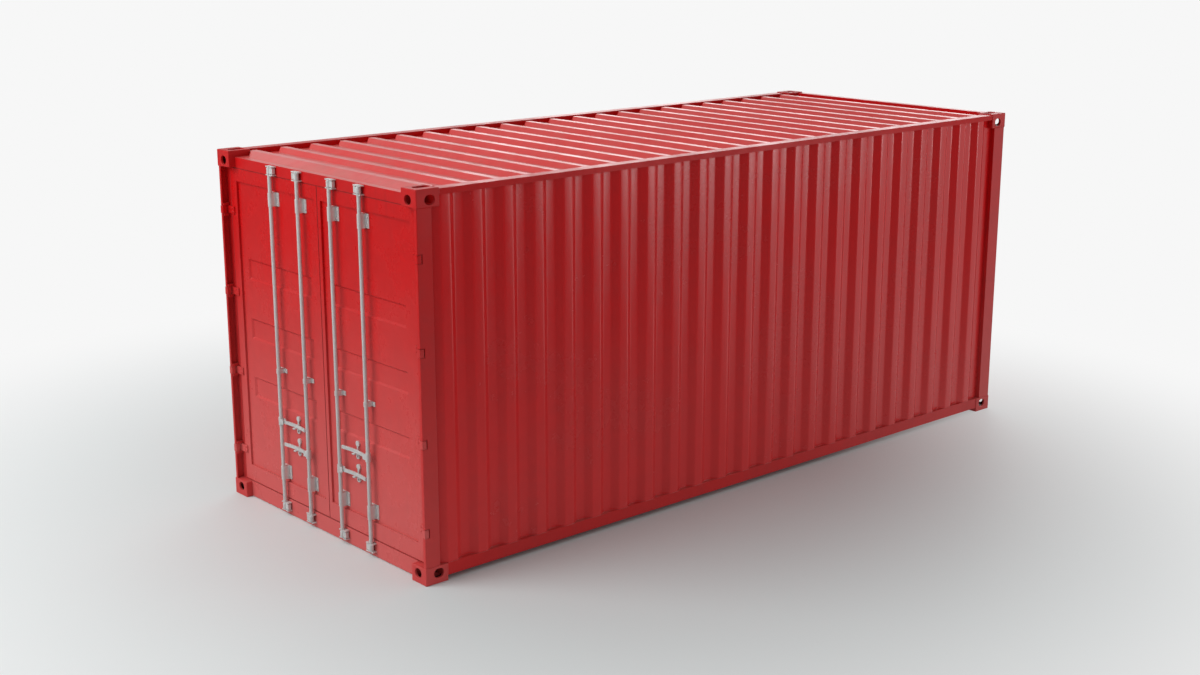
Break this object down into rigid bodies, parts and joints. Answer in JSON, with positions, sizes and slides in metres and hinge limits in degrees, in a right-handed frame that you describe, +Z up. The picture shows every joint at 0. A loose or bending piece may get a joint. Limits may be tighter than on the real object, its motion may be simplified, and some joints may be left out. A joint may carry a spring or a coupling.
{
  "type": "shipping container",
  "caption": "Steel freight box with corrugated sides and roof, corner castings, and double end doors that lock with vertical rods and lift handles.",
  "frame": {"origin": "middle of the footprint, at ground level under the four bottom castings", "axes": "X runs along the length with the doors at the low end, Y across, Z up"},
  "size_m": [6.058, 2.438, 2.591],
  "materials": {
    "red_paint": "semi-gloss red marine paint on corrugated steel",
    "casting_paint": "red paint on cast steel",
    "galvanised": "light grey galvanised lock gear",
    "seal_rubber": "deep red seal rubber, coloured like the doors",
    "plywood": "sealed hardwood plywood floor"
  },
  "bodies": {
    "container": {"corner_casting_door_right_bottom": "casting_paint", "corner_casting_door_right_top": "casting_paint", "corner_casting_door_left_bottom": "casting_paint", "corner_casting_door_left_top": "casting_paint", "corner_casting_front_right_bottom": "casting_paint", "corner_casting_front_right_top": "casting_paint", "corner_casting_front_left_bottom": "casting_paint", "corner_casting_front_left_top": "casting_paint", "door_header": "red_paint", "door_sill": "red_paint", "front_top_rail": "red_paint", "front_bottom_rail": "red_paint", "top_rail_left": "red_paint", "top_rail_right": "red_paint", "bottom_rail_left": "red_paint", "bottom_rail_right": "red_paint", "side_wall_left": "red_paint", "side_wall_right": "red_paint", "front_wall": "red_paint", "roof_sheet": "red_paint", "crossmembers": "red_paint", "door_post_left": "red_paint", "door_post_right": "red_paint", "front_post_left": "red_paint", "front_post_right": "red_paint", "hinge_lugs_left": "red_paint", "hinge_lugs_right": "red_paint", "cam_keepers": "galvanised", "floor_boards": "plywood"},
    "door_left": {"door_frame_left": "red_paint", "door_panel_left": "red_paint", "door_seal_left": "seal_rubber", "door_hinges_left": "red_paint", "rod_brackets_left": "galvanised", "handle_catches_left": "galvanised"},
    "door_right": {"door_frame_right": "red_paint", "door_panel_right": "red_paint", "door_seal_right": "seal_rubber", "door_hinges_right": "red_paint", "rod_brackets_right": "galvanised", "handle_catches_right": "galvanised"},
    "rod_1": {"lock_rod_1": "galvanised"},
    "handle_1": {"lock_handle_1": "galvanised"},
    "rod_2": {"lock_rod_2": "galvanised"},
    "handle_2": {"lock_handle_2": "galvanised"},
    "rod_3": {"lock_rod_3": "galvanised"},
    "handle_3": {"lock_handle_3": "galvanised"},
    "rod_4": {"lock_rod_4": "galvanised"},
    "handle_4": {"lock_handle_4": "galvanised"}
  },
  "joints": [
    {"name": "door_left_swing", "type": "hinge", "parent": "container", "child": "door_left", "pos_m": [-3.011, 1.199, 1.295], "axis": [0, 0, -1], "range_deg": [0, 265]},
    {"name": "door_right_swing", "type": "hinge", "parent": "container", "child": "door_right", "pos_m": [-3.011, -1.199, 1.295], "axis": [0, 0, 1], "range_deg": [0, 265]},
    {"name": "rod_1_turn", "type": "hinge", "parent": "door_left", "child": "rod_1", "pos_m": [-3.003, 0.551, 0.71], "axis": [0, 0, 1], "range_deg": [-120, 0]},
    {"name": "rod_2_turn", "type": "hinge", "parent": "door_left", "child": "rod_2", "pos_m": [-3.003, 0.2, 0.545], "axis": [0, 0, -1], "range_deg": [-120, 0]},
    {"name": "rod_3_turn", "type": "hinge", "parent": "door_right", "child": "rod_3", "pos_m": [-3.003, -0.2, 0.545], "axis": [0, 0, 1], "range_deg": [-120, 0]},
    {"name": "rod_4_turn", "type": "hinge", "parent": "door_right", "child": "rod_4", "pos_m": [-3.003, -0.551, 0.71], "axis": [0, 0, -1], "range_deg": [-120, 0]},
    {"name": "handle_1_lift", "type": "hinge", "parent": "rod_1", "child": "handle_1", "pos_m": [-3.003, 0.517, 0.71], "axis": [1, 0, 0], "range_deg": [-20, 0]},
    {"name": "handle_2_lift", "type": "hinge", "parent": "rod_2", "child": "handle_2", "pos_m": [-3.003, 0.234, 0.545], "axis": [-1, 0, 0], "range_deg": [-20, 0]},
    {"name": "handle_3_lift", "type": "hinge", "parent": "rod_3", "child": "handle_3", "pos_m": [-3.003, -0.234, 0.545], "axis": [1, 0, 0], "range_deg": [-20, 0]},
    {"name": "handle_4_lift", "type": "hinge", "parent": "rod_4", "child": "handle_4", "pos_m": [-3.003, -0.517, 0.71], "axis": [-1, 0, 0], "range_deg": [-20, 0]}
  ]
}
